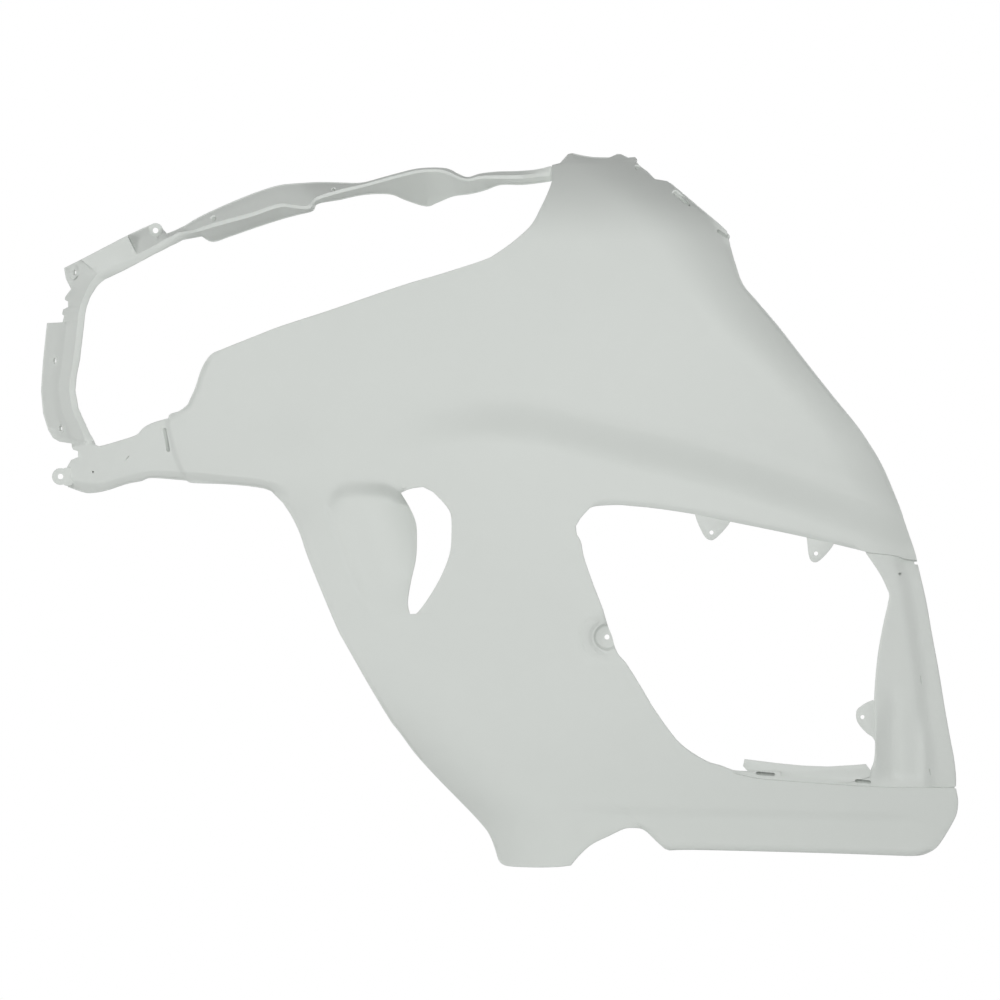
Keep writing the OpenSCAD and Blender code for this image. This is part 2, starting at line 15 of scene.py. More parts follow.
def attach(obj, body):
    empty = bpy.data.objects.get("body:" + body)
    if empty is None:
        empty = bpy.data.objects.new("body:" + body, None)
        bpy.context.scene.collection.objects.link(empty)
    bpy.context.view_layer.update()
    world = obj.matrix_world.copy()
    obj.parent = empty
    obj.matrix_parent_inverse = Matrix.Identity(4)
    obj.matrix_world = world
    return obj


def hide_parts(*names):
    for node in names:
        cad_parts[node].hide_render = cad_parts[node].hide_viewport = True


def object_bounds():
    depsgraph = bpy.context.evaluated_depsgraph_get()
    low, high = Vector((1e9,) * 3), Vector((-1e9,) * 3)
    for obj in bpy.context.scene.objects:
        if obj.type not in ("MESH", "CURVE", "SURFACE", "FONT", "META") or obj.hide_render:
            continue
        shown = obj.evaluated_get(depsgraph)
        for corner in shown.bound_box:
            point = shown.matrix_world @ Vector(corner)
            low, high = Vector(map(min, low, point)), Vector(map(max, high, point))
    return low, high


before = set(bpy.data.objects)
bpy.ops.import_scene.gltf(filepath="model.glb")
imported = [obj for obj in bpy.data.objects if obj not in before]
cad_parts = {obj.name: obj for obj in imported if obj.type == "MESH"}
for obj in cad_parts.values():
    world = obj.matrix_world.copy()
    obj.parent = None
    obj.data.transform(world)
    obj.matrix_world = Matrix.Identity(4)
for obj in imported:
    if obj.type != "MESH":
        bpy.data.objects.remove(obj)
cad_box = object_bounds()

# A millimetre in metres. All other sizes down to the studio's are in millimetres.
MM = 0.001
# The mesh is this many times finer than the solid's, whose facets are 15 mm wide.
FINE = 4
FACET = 15 / FINE
WALL = 3
# Sizes of the outer face's form.
NOSE_SWEEP = 290
TAIL_SWEEP = 15
LEAN_IN = 45
CROWN_ROLL = 50
EDGE_ROLL = 24
FRONT_ROLL = 22
LOW_ROLL = 6
RIDGE_STEP = 15
CHEEK_BULGE = 12
TUCK_UNDER = 24
JOGGLE = 2
COLUMN_CHANNEL = 4
SCOOP_STEP = 7
SCOOP_DEPTH = 26
STEP_W = 1.2
CROWN_SET = 5
# Small folds: the skirt's crease, the turned edges, and the column's valley and floor.
CREASE = 1.4
TURN_IN = 2.2
TURN_W = 5.5
VALLEY = 3.2
COLUMN_FLOOR = 2.5
# The screw seat, with a dish round its bowl, and the wall behind both.
SCREW_BORE_D = 5
SEAT_R = 14.5
SEAT_DEPTH = 9
BOWL_R = SEAT_R * 0.7
BOWL_PART = 0.6
DISH_W = 11
DISH_POWER = 1.6
WALL_GAP = 0.8
WALL_LAP = 0.4
SEAT_FRONT = -SEAT_DEPTH - 8
# How deep the blind slots, the open ones and the slits go, and how much less the small holes.
BLIND = 7.5
OPEN = 20
SLIT = 1.4
HOLE_LESS = 2
# The plate that closes a blind slot or hole: its start behind the face, its thickness and margins.
BOSS_START = 5.2
BOSS_T = 4
SLOT_MARGIN = 4
HOLE_MARGIN = 3
# How far the tools that cut slots, holes and bores start in front of the face.
SLOT_LEAD = 6
HOLE_LEAD = 8
BORE_LEAD = 1
# Room that is cleared in the skin in front of an eye and behind it, and beside the seat.
CLEAR_FRONT = 30
CLEAR_BACK = 20
ENGINE_CUT_T = 80
# The turn of the front end in degrees, and the lugs, the flange and the tabs, with how far
# their faces stand before or behind the form.
FRONT_TURN = 52
LUG_BORE_D = 5.5
LUG_R = 8.5
LUG_PROUD = 1
FLANGE_BORE_D = 5.5
FLANGE_EYE_R = LUG_R - 3.5
FLANGE_PROUD = 0.8
CHIN_SET = 1
TAB_BORE_D = 4
TAB_T = 3
TAB_SOFT = 0.4
TAB_SET = 2.8
EAR_SET = 1
LEDGE_SET = 2.6
# The front frame: its bar's first station, its rim, its legs and its flange's step.
BAR_START = 31
RIM_HALF = 2
LEG_SHARES = (0.3, 0.4, 0.43, 0.7, 1)
FLANGE_PART = 0.455
FLANGE_STEP = 2.4
FLANGE_END = 9
# Rounded outer edges, by turns in degrees, and the angle from which an edge stays sharp.
EDGE_R = 1.1
EDGE_TURNS = (30, 60, 90)
SHARP_ANGLE = 38
# Sides of round pins and of turned forms, and the way in which solids are joined and cut.
PIN_SIDES = 48
LATHE_SIDES = 96
SOLVER = "MANIFOLD"
# The plastic: its colour, how much the colour and the roughness vary, and its gloss.
PLASTIC = (0.69, 0.72, 0.69)
TINT = 0.015
ROUGHNESS = (0.46, 0.54)
SPECULAR = 0.3
CLOUD_SCALE = 9
CLOUD_DETAIL = 3
# The studio, in metres. The surroundings' light is given as seen from behind and from the front.
WHITE = (1, 1, 1, 1)
AMBIENT = (0.12, 0.7)
LAMP_AIM = (-0.1, 0, 0.12)
LAMP_SIZE = 1.6
# Lamps as (name, place, watts).
LAMPS = [
    ("key", (-0.1, -3.94, 0.81), 52),
    ("side", (-3.96, -1.03, 0.26), 36),
    ("back", (0.9, 3.6, 1), 70),
]
FLOOR_PLACE = (-0.1, 1, cad_box[0].z - 0.02)
FLOOR_SIZE = 8
FLOOR_COLOUR = (0.9, 0.9, 0.9, 1)
FLOOR_ROUGHNESS = 0.9
VIEW_CENTRE = (-0.107, 0.137)
VIEW_WIDTH = 1.0
VIEW_DISTANCE = 3
VIEW_END = 20
# Lines of the outer face's form, as z at each x.
RIDGE_LINE = [[-337, 182], [-307, 196], [-227, 217], [-167, 232], [-127, 237], [-87, 235], [-47, 228],
    [13, 213], [83, 196], [153, 175], [223, 151], [298, 122], [323, 112]]
# Lines of the outer face's form, as x at each z.
SLOPE_EDGE = [[75, 310], [170, 276], [241, 226], [310, 172], [389, 124], [431, 91], [478, 28]]
FRONT_EDGE = [[-225, -105], [-191, -122], [-150, -161], [-83, -217], [-22, -253],
    [47, -286], [103, -307], [140, -322]]
SCOOP_FRONT = [[19, -236], [40, -245], [69, -258], [92, -266], [107, -272], [125, -278],
    [138, -280], [150, -281]]
VENT_EDGE = [[23, -199], [35, -199], [55, -196], [78, -191], [99, -190], [114, -191],
    [129, -197], [144, -206]]
# Lines as z at each x: the pocket's roof, the land, the column's top, and the lower edge of
# the arm and the chin.
SCOOP_ROOF = [[-287, 138], [-280, 143], [-275, 148], [-267, 155], [-252, 157.5], [-222, 156], [-206, 149],
    [-184, 151], [-157, 145]]
LAND_LINE_FRONT = [[124, -136], [151, -142], [174, -144], [213, -147], [263, -150]]
LAND_LINE_REAR = [[263, -150], [290, -151], [349, -151]]
COLUMN_LINE = [[243, 89], [259, 85], [286, 82], [298, 78.5], [310, 77], [323, 76]]
LAND_LINE = LAND_LINE_FRONT + LAND_LINE_REAR[1:]
LOW_EDGE = [[-547, 153], [-514, 145], [-465, 156], [-421, 156.5], [-386, 153], [-343, 148], [-307, 137]]
# The fold at the front of the rear column's channel, as x at each z.
CHANNEL_LINE = [[-151, 316], [-109, 314], [-72, 308], [-39, 305], [-5, 300], [25, 295.7],
    [52, 291], [78, 284]]
# The faint crease along the skirt, as z at each x.
CREASE_LINE = [[-60, -166], [-14, -168], [225, -173.5], [342, -176]]
# Edges that turn in: the arch with the skirt's lower edge, the headlamp opening's
# lower corner and the engine opening's upper edge.
TURNED_EDGES = [
    [[33, -191.5], [41, -196], [49, -204], [58, -212], [62, -213.5], [93, -213], [213, -216], [299, -219],
     [313, -218.5], [323, -215]],
    [[-439, 218.5], [-437, 223], [-428, 226], [-420, 232], [-417, 238], [-412, 249], [-406, 267],
     [-400, 278]],
    [[-10, 131], [10, 132], [24, 131], [45, 129], [83, 123.5], [125, 115], [193, 101], [248, 88]],
]


def ease(t):
    """A soft step from 0 to 1."""
    c = np.clip(t, 0, 1)
    return c * c * (3 - 2 * c)


def back_to_front(p):
    return p[::-1]


def joined(runs):
    """One line from runs that share their end points."""
    return np.vstack([runs[0], *[np.asarray(r)[1:] for r in runs[1:]]])


def ring(runs):
    return np.vstack([np.asarray(r, float) for r in runs])


def along(table, a):
    """A smooth value read from a short table of [place, value] pairs."""
    t = np.asarray(table, float)
    a = np.asarray(a, float)
    before = np.vstack([t[:1], t[:-1]])
    after = np.vstack([t[1:], t[-1:]])
    tilt = (after[:, 1] - before[:, 1]) / (after[:, 0] - before[:, 0])
    i = np.clip(np.searchsorted(t[:, 0], a, side="right") - 1, 0, len(t) - 2)
    h = t[i + 1, 0] - t[i, 0]
    s = np.clip((a - t[i, 0]) / h, 0, 1)
    return (
        t[i, 1] * (1 + 2 * s) * (1 - s) ** 2
        + t[i + 1, 1] * s * s * (3 - 2 * s)
        + h * s * (1 - s) * (tilt[i] * (1 - s) - tilt[i + 1] * s)
    )


def distances(p):
    return np.concatenate([[0], np.cumsum(np.linalg.norm(np.diff(p, axis=0), axis=1))])


def stepped(p, n):
    """The line p cut into n equal lengths."""
    p = np.asarray(p, float)
    d = distances(p)
    at = np.linspace(0, d[-1], n + 1)
    cut = np.stack([np.interp(at, d, p[:, k]) for k in range(p.shape[1])], axis=1)
    cut[0], cut[-1] = p[0], p[-1]
    return cut


def bowed(p, steps=16):
    """A smooth line through given points."""
    p = np.asarray(p, float)
    t = (np.arange(steps) / steps)[:, None]
    out = []
    for i in range(len(p) - 1):
        a, b, c, d = p[max(i - 1, 0)], p[i], p[i + 1], p[min(i + 2, len(p) - 1)]
        bend = (2 * a - 5 * b + 4 * c - d) * t**2 + (3 * b - a - 3 * c + d) * t**3
        out.append(0.5 * (2 * b + (c - a) * t + bend))
    return np.vstack([*out, p[-1:]])


def run(p, n):
    return stepped(bowed(p), n * FINE)


def straight(p):
    """The same corners with each side cut into finer steps."""
    p = np.asarray(p, float)
    parts = [p[i] + (p[i + 1] - p[i]) * (np.arange(FINE) / FINE)[:, None] for i in range(len(p) - 1)]
    return np.vstack([*parts, p[-1:]])


def sweep_in(x):
    """The nose and the tail curve in from the widest place."""
    front = NOSE_SWEEP * (np.maximum(0, 143 - x) / 708) ** 2.3
    return front + TAIL_SWEEP * (np.maximum(0, x - 143) / 207) ** 2


def upright(z):
    """The upper part leans in and rolls over at the crown, and the foot tucks under."""
    return (
        LEAN_IN * (np.maximum(0, z - 237) / 240) ** 2
        + CROWN_ROLL * (np.maximum(0, z - 395) / 80) ** 2.2
        + TUCK_UNDER * (np.maximum(0, -60 - z) / 170) ** 2
    )


def curl(t, width, power):
    """One at an edge, and zero from this width on."""
    return np.clip(1 - t / width, 0, 1) ** power


def slope_curl(x, z):
    """The rolled edge of the windscreen's side, wider and deeper higher up."""
    t = 0.8 * (along(SLOPE_EDGE, z) - x)
    high = ease((z - 200) / 200)
    return EDGE_ROLL * (0.45 + 0.55 * high) * ease((z - 55) / 40) * curl(t, 38 + 22 * high, 2.2)


def front_curl(x, z):
    """The rolled front edge, deepest at its foot."""
    t = 0.85 * (x - along(FRONT_EDGE, z))
    low = ease((-10 - z) / 160)
    return FRONT_ROLL * (0.12 + 0.88 * low) * ease((150 - z) / 50) * curl(t, 60, 2.2)


def low_curl(x, z):
    """The rolled lower edge of the arm and the chin."""
    return LOW_ROLL * ease((-315 - x) / 25) * curl(z - along(LOW_EDGE, x), 9, 1.2)


def side_ridge(x, z):
    """A step back under the ridge line that fades lower down, with a slight swell over it."""
    t = along(RIDGE_LINE, x) - z
    step = ease(t / 42) * (1 - 0.7 * ease((t - 42) / 150))
    return RIDGE_STEP * ease((x + 265) / 190) * (step - 0.16 * np.exp(-(((t + 10) / 16) ** 2)))


def cheek(x, z):
    """A soft bulge in front of the vent."""
    return -CHEEK_BULGE * np.exp(-(((x + 322) / 75) ** 2) - ((z - 165) / 48) ** 2)


def scoop(x, z):
    """The air pocket in front of the vent."""
    a = x - along(SCOOP_FRONT, z)
    b = x - along(VENT_EDGE, z)
    fall = SCOOP_STEP * (1 - (1 - np.clip(a / 20, 0, 1)) ** 2) + SCOOP_DEPTH * (np.maximum(0, a) / 85) ** 2.6
    near = (x < -150) & (z < 165) & (z > 0)
    roof = ease((along(SCOOP_ROOF, x) - z) / 18)
    return near * fall * roof * ease((z - 12) / 48) * (1 - ease((b - 1.5) / 9))


def land(x, z):
    """The rear column and the land under the engine opening lie a step deeper."""
    over = ease((z - along(LAND_LINE, x)) / STEP_W) * ease((along(COLUMN_LINE, x) - z) / STEP_W)
    channel = COLUMN_CHANNEL * ease((x - along(CHANNEL_LINE, z)) / 14)
    return (JOGGLE + channel) * over * ease((x - 123) / 8) * (z > -155)


def distance_to(line, x, z):
    """Distance from each place to a line of straight pieces."""
    best = np.full(np.broadcast(x, z).shape, np.inf)
    for (ax, az), (bx, bz) in zip(line, line[1:]):
        ux, uz = bx - ax, bz - az
        t = np.clip(((x - ax) * ux + (z - az) * uz) / (ux * ux + uz * uz), 0, 1)
        best = np.minimum(best, np.hypot(x - ax - t * ux, z - az - t * uz))
    return best


def fine_folds(x, z):
    """Small folds of a few millimetres that the part's solid leaves out."""
    below = ease((along(CREASE_LINE, x) - z) / 9) * (z < -150)
    folds = CREASE * ease((x + 60) / 90) * below * ease((330 - x) / 50)
    for line in TURNED_EDGES:
        folds = folds + TURN_IN * curl(distance_to(line, x, z), TURN_W, 1.7)
    dish = np.maximum(np.hypot(0.85 * x, z + 1) - SEAT_R, 0)
    folds = folds + SEAT_DEPTH * (1 - BOWL_PART) * curl(dish, DISH_W, DISH_POWER)
    inside = ease((x - 269) / 6) * ease((z + 148) / 12) * (x > 269) * (z < 60) * (z > -150)
    valley = VALLEY * np.exp(-(((x - 285) / 7) ** 2)) * ease((-40 - z) / 50)
    floor = COLUMN_FLOOR * ease((-60 - z) / 50) * ease((318 - x) / 8)
    return folds + inside * (valley + floor)


def depth(x, z):
    """Depth of the outer face behind its widest point."""
    x = np.asarray(x, float)
    z = np.asarray(z, float)
    return (
        sweep_in(x) + upright(z) + slope_curl(x, z) + front_curl(x, z) + low_curl(x, z)
        + side_ridge(x, z) + cheek(x, z) + land(x, z) + scoop(x, z)
    )


def face_depth(x, z):
    """The same at one place, as a plain number."""
    return float(depth(x, z))


def through(x, z):
    """The skin's thickness measured along Y, which grows where the skin is steep."""
    sx = (depth(x + 1, z) - depth(x - 1, z)) / 2
    sz = (depth(x, z + 1) - depth(x, z - 1)) / 2
    return WALL * np.minimum(2, np.sqrt(1 + sx * sx + sz * sz))


def skins(line, back=0.0):
    """Points of the skin on a line as [x, z, depth, thickness]."""
    p = np.asarray(line, float)
    x, z = p[:, 0], p[:, 1]
    return np.stack([x, z, depth(x, z) + fine_folds(x, z) + back, through(x, z)], axis=1)


def lifted(line):
    return np.asarray(line, float) + (0, STEP_W)


# Lines of the outline and between its parts, from the front joint round.
JOINT_LOW = joined([run([[-421, 156.5], [-423.5, 164]], 1),
    run([[-423.5, 164], [-427, 171], [-432.5, 185]], 7)])
JOINT_HIGH = run([[-432.5, 185], [-436, 199], [-439, 213], [-439, 218.5]], 4)
LAMP_FRONT = run([[-439, 218.5], [-437, 223], [-428, 226], [-420, 232], [-417, 238], [-412, 249],
    [-406, 267], [-400, 278], [-394, 284], [-387, 287]], 7)
LAMP_LONG = run([[-387, 287], [-352, 301], [-326, 311], [-277, 327], [-207, 351], [-170, 362], [-132, 374],
    [-116, 380]], 15)
LAMP_REAR = run([[-116, 380], [-104, 388], [-92, 397], [-76, 412], [-66, 430], [-59, 445], [-55, 456]], 8)
LAMP_END = run([[-55, 456], [-55, 463], [-55, 470.5]], 2)
CROWN = run([[-55, 470.5], [-47, 473.5], [-12, 475], [21, 475.5], [30, 474.5]], 12)
CROWN_EDGE = straight([[-55, 472], [-47, 474], [-39, 483], [-35, 484], [-24, 481.5], [-14, 480], [3, 479.5],
    [10, 483], [14, 483], [21, 479.5], [28, 480], [30, 478], [30.5, 476]])
SLOPE_FOOT = run([[310, 77], [307, 88], [297, 117], [296, 121]], 8)
SLOPE_LOW = run([[296, 121], [290, 137], [276, 170], [262, 194], [248, 214], [226, 241], [196, 279],
    [172, 310], [150, 336], [136, 353], [128, 375], [124, 389], [121, 401]], 27)
SLOPE_MID = run([[121, 401], [118, 408], [91, 431], [65, 453]], 4)
SLOPE_TOP = straight([[65, 453], [60, 456], [48, 458], [40, 466], [33, 471], [30, 474.5]])
RIDGE = run([JOINT_HIGH[0], [-377, 188], *RIDGE_LINE[1:11], SLOPE_LOW[0]], 56)
CHIN = joined([run([[-421, 156.5], [-414, 154], [-386, 153], [-360, 151], [-343, 148.5]], 5),
    straight([[-343, 148.5], [-336, 146], [-328, 138], [-324, 134]])])
VENT_BROW = run([[-324, 134], [-307, 140], [-282, 149], [-262, 155.5], [-237, 157], [-219, 154],
    [-206, 144]], 14)
VENT_TOP = straight([[-206, 144], [-200, 147], [-193, 149], [-184, 150], [-174, 145], [-167, 138]])
WAIST = run([[-167, 138], [-107, 129], [-57, 122], [-27, 118]], 10)
ENGINE_TOP = joined([straight([[-27, 118], [-22, 124], [-17, 129]]),
    run([[-17, 129], [-10, 131], [10, 132], [24, 131], [45, 129], [83, 123.5], [125, 115], [193, 101],
    [248, 88], [259, 85]], 19)])
COLUMN_TOP = run([[259, 85], [286, 82], [298, 78.5], [310, 77]], 5)
VENT_FRONT = run([[-197, 23], [-199, 35], [-196, 55], [-191, 78], [-190, 99], [-191, 114], [-197, 129],
    [-206, 144]], 14)
VENT_REAR = run([[-197, 23], [-190, 24], [-176, 43], [-164, 65], [-157, 85], [-155.5, 104], [-156, 121],
    [-160, 130], [-167, 138]], 11)
FRONT_HIGH = run([[-262, -6], [-270, 9], [-286, 47], [-300, 82], [-307, 103], [-315, 120], [-324, 134]], 14)
FRONT_LOW = run([[-109, -222], [-112, -212], [-116, -201], [-122, -191], [-137, -174], [-161, -150],
    [-189, -120], [-207, -96], [-217, -83], [-237, -50], [-253, -22], [-262, -6]], 18)
FLOOR_FOOT = run([[-262, -6], [-232, 5], [-212, 14], [-197, 23]], 8)
MID_FOOT = run([[-197, 23], [-147, 25], [-67, 27], [-4, 28]], 14)
ENGINE_FRONT_HIGH = joined([run([[-4, 28], [-11, 46], [-17, 62], [-23, 80], [-26, 95], [-30, 103],
    [-31, 111]], 10), straight([[-31, 111], [-27, 118]])])
ENGINE_FRONT_LOW = run([[126, -133], [113, -128], [100, -124], [79, -111], [66, -98], [48, -73], [36, -53],
    [25, -35], [18, -24.5], [12, -18], [8, -10], [5, 1], [1, 11], [-4, 28]], 18)
FOOT = joined([
    run([[-109, -222], [-105, -227], [-96, -229.5], [-70, -230.5], [-49, -230], [-36, -228.5]], 6),
    run([[-36, -228.5], [-28, -219], [-16, -208], [2, -199], [17, -192], [26, -191], [35, -192],
    [41, -196]], 7),
    straight([[41, -196], [49, -204], [58, -212], [62, -213.5]])])
SKIRT_JOINT = joined([straight([[62, -213.5], [65, -210]]),
    run([[65, -210], [83, -187], [105, -160], [124, -136]], 6)])
SKIRT_LOW = run([[62, -213.5], [93, -213], [213, -216], [299, -219]], 17)
SKIRT_REAR = run([[299, -219], [313, -218.5], [323, -215], [331, -209], [341, -194], [349, -179],
    [351, -169], [351, -162], [349, -151]], 7)
LAND_TOP = run(LAND_LINE_FRONT, 10)
LAND_TOP_REAR = run(LAND_LINE_REAR, 6)
ENGINE_FOOT = run([[126, -133], [142, -134], [193, -134], [263, -134]], 10)
COLUMN_STEP = COLUMN_TOP - (0, STEP_W)
COLUMN_FRONT = run([[263, -134], [267, -123], [268, -105], [267, -65], [270, -24], [275, 7], [282, 39],
    [281, 46], [273, 63], COLUMN_STEP[0]], 16)
COLUMN_REAR = run([lifted(LAND_TOP_REAR)[-1], [349, -139], [347, -121], [343, -100], [338, -72], [332, -35],
    [325, 3], [319, 37], COLUMN_STEP[-1]], 17)
# The front arm, set back under the joint.
JOINT = joined([JOINT_LOW, JOINT_HIGH])
ARM_JOINT = JOINT - (STEP_W, 0)
ARM_LOW = run([[-539, 150], [-523, 144.5], [-514, 144], [-500, 146.5], [-480, 153], [-465, 156],
    [-456, 159], [-427, 157], ARM_JOINT[0]], 9)
ARM_FRONT = straight([[-539, 150], [-540, 157], [-540, 164], [-540, 170], [-536, 177], [-529, 180],
    [-529, 183], [-529, 186], [-533, 187], [-534, 187.5], [-534.5, 188.5], [-535, 189], [-535, 190]])
ARM_TOP = joined([straight([[-535, 190], [-523, 191], [-511, 192]]),
    run([[-511, 192], [-507, 191], [-489, 196], [-471, 202], [-464, 209], [-455, 214],
    ARM_JOINT[-1]], 6)])


def nose(outer, middle, inner):
    """A station of the frame's front end, which turns towards the front of the bike."""
    turn = math.radians(FRONT_TURN)
    back = (middle[0] - outer[0]) * math.tan(turn)
    return [[*outer, back], [*middle, 0], [*inner, 0.5], 1 / math.cos(turn)]


# The front frame by stations: outer, middle and inner line, each as
# [x, z, set-back from the skin's form], then the share of steepness.
FRAME = [
    nose([-535.5, 193.5], [-520, 196], [-513, 196.5]),
    nose([-548, 195.5], [-520.5, 199], [-514.5, 199.5]),
    nose([-554, 199], [-522, 203], [-517, 203.5]),
    nose([-559, 207.5], [-524.5, 208.5], [-519.5, 209]),
    nose([-564, 224], [-533, 228], [-528.5, 229]),
    nose([-566, 246], [-536, 247], [-531.5, 247]),
    nose([-565, 262], [-534.5, 262], [-530, 262]),
    nose([-564, 276], [-532, 276], [-527, 277]),
    nose([-561.5, 300], [-529, 301], [-524, 302]),
    nose([-560, 314], [-527.5, 315], [-522.5, 316]),
    nose([-544.5, 314.5], [-527.2, 317], [-522.2, 318]),
    nose([-543, 321], [-527, 321], [-522, 321]),
    nose([-545, 323], [-526.5, 323.5], [-521.5, 324]),
    nose([-544, 327.5], [-525.5, 328.5], [-520.5, 329]),
    nose([-539, 330], [-524.5, 332], [-519.5, 332]),
    nose([-539, 335.5], [-523, 336], [-518, 336]),
    nose([-542, 337], [-522, 338.5], [-517, 339]),
    nose([-542, 340], [-520.5, 341.5], [-515.5, 342]),
    nose([-536, 348], [-517, 350], [-511, 349]),
    nose([-541, 358], [-514, 354.5], [-509, 351.5]),
    nose([-543, 369], [-511, 358.5], [-506, 354.5]),
    [[-527, 377, 20], [-508, 361, 0], [-502, 357.5, 1], 1.5],
    [[-525.8, 377.6, 14], [-507, 361.6, 0], [-501, 358, 1], 1.3],
    [[-503, 389.5, 12], [-486, 372, 0], [-483, 366.5, 1], 1.3],
    [[-480, 401.5, 12], [-469.5, 380.5, 0], [-466.5, 375.2, 1], 1.3],
    [[-478.8, 402.1, 30], [-468.5, 381.1, 0], [-465.5, 375.7, 1], 2],
    [[-464, 409, 32], [-455, 388, 0], [-452, 383, 1], 2],
    [[-453.5, 413.5, 32], [-447, 392.5, 0], [-443.5, 387, 2], 2],
    [[-445, 409, 28], [-441, 396, 0], [-437, 390.5, 2], 2],
    [[-440, 403.5, 20], [-435, 399, 0], [-430.5, 393.5, 3], 1.8],
    [[-431.5, 407, 18], [-428.5, 403, 0], [-424, 397, 4], 1.7],
    [[-423, 411, 16], [-411, 406.5, 0], [-405, 400.5, 12], 1.8],
    [[-408, 420, 20], [-397, 411, 0], [-394, 395, 26], 2],
    [[-388, 429.5, 24], [-379, 416, 0], [-375, 401, 28], 2],
    [[-367, 438.5, 28], [-355, 422.5, 0], [-349, 410, 28], 2],
    [[-346, 446.5, 30], [-327, 432, 0], [-324, 418, 28], 2],
    [[-327, 452, 32], [-313, 430.5, 0], [-309, 422, 20], 2],
    [[-306, 454, 34], [-299, 429.5, 0], [-294, 426, 10], 2],
    [[-285, 455, 34], [-291.5, 438, 0], [-289, 433, 10], 2],
    [[-265, 454.5, 26], [-271, 445, 0], [-267, 437, 16], 2],
    [[-245, 454.5, 8], [-247, 451, 0], [-243, 442, 18], 2],
    [[-224, 460, 4], [-223, 457.5, 0], [-217, 442.5, 26], 2],
    [[-211, 463.5, 4], [-210, 461, 0], [-201, 436.5, 40], 2],
    [[-190, 468.5, 4], [-189, 466, 0], [-181, 430.5, 52], 2],
    [[-170, 469.5, 4], [-170, 467, 0], [-170, 434, 46], 2],
    [[-158, 468, 6], [-158, 464, 0], [-154, 440.5, 32], 2],
    [[-148, 463, 8], [-148, 459, 2], [-139, 442.5, 22], 2],
    [[-139, 460, 8], [-138, 457.5, 2], [-129, 444.5, 18], 2],
    [[-127, 463.5, 10], [-126, 460, 0], [-119, 447.5, 16], 2],
    [[-110, 465.5, 10], [-109, 460, 0], [-106, 452, 12], 2],
    [[-90, 466, 8], [-89, 460, 0], [-85, 452, 8], 2],
    [[-71, 467.5, 10], [-70, 462, 6], [-67, 454, 12], 2],
    [[-56.5, 471, 10], [-56.5, 463, 8], [-56.5, 455.5, 12], 2]]

SEAT_Y = face_depth(0, 0) + SEAT_DEPTH


def station_depth(row, x=None):
    """Depth of the front frame at one station: at its outer line, or at x towards its middle line."""
    outer, middle = row[:2]
    base = face_depth(*middle[:2]) + JOGGLE
    part = 0 if x is None else (x - outer[0]) / (middle[0] - outer[0])
    return base + outer[2] + (middle[2] - outer[2]) * part


LUG_Y = [station_depth(FRAME[20], -532.5) - LUG_PROUD, station_depth(FRAME[27]) - LUG_PROUD]
FLANGE_Y = [station_depth(FRAME[7], -552.5) - FLANGE_PROUD, station_depth(FRAME[3], -546.5) - FLANGE_PROUD]
CHIN_Y = face_depth(-535, 160) + JOGGLE + CHIN_SET
# Round flat eyes with a bore as (middle, depth of the face, turn, bore size, radius).
EYES = [
    ((-532.5, 364.5), LUG_Y[0], FRONT_TURN, LUG_BORE_D, LUG_R),
    ((-451.5, 406.5), LUG_Y[1], 0, LUG_BORE_D, LUG_R - 1),
    ((-552.5, 276), FLANGE_Y[0], FRONT_TURN, FLANGE_BORE_D, FLANGE_EYE_R),
    ((-546.5, 208.5), FLANGE_Y[1], FRONT_TURN, FLANGE_BORE_D, FLANGE_EYE_R),
    ((-546.5, 160.5), CHIN_Y, 0, LUG_BORE_D, LUG_R),
]
# The two tabs, the ear and the chin lug's root as (bores, outline, depth of the face).
TABS = [
    ([(104.5, 104.5)], [(87, 129), (88.5, 119), (96.5, 101), (102, 96.5), (108, 97), (124, 114.5),
     (125, 122)], face_depth(106, 120) + TAB_SET),
    ([(209, 83.5)], [(199, 106), (200, 96), (202, 78), (207, 74), (213, 76), (227, 91.5),
     (228, 100)], face_depth(213, 100) + TAB_SET),
    ([(255.5, -80)], [(269.5, -62), (261, -64.5), (254, -69), (249, -73), (249, -83), (254, -90.5),
     (260.5, -97), (266, -100), (269.5, -108)], face_depth(269, -83) + EAR_SET),
    ([], [(-546.5, 169), (-533, 170), (-533, 150), (-546.5, 152)], CHIN_Y),
]
# The ledge behind the land at the foot of the engine opening.
LEDGE = [(137.5, -122), (170, -126), (195, -128.5), (220, -129.5), (246, -128), (259, -127), (264, -134),
    (263, -140), (241, -146), (193, -144), (170, -141), (144, -138), (136, -129)]
LEDGE_Y = face_depth(193, -137) + LEDGE_SET
# The recess in the land between the two ledge slots, in front of the ledge.
RECESS = [(173, -130), (174, -139), (236, -142.5), (240, -138.5), (241, -130)]
# Slots and slits as (middle, length, width, turn, how deep they go).
SLOTS = [
    ((-440.5, 197), 24, 3.5, 80, BLIND),
    ((75, 438), 21, 3, 41, BLIND),
    ((115.5, 403), 13, 3, 36, BLIND),
    ((158.5, -137), 19, 3.5, 5, BLIND),
    ((256, -144.5), 16, 3.5, 6, BLIND),
    ((311.5, 74), 9, 3, 0, OPEN),
    ((350, -150.5), 5, 2, 0, OPEN),
    ((-483, 175), 15.5, 1.1, -50, SLIT),
    ((314, -43), 8, 1, 84, SLIT),
    ((323, -135), 6, 1, 80, SLIT),
]
# Small round holes as (place, size).
HOLES = [((30, 469), 3.5), ((293, 63), 3), ((-393, 418), 4.5), ((-273, 447), 2.5), ((-514, 165), 2)]


def share(p, u):
    """Points of the line p at shares u of its count of steps."""
    s = u * (len(p) - 1)
    i = np.minimum(np.floor(s).astype(int), len(p) - 2)
    return p[i] + (p[i + 1] - p[i]) * (s - i)[:, None]


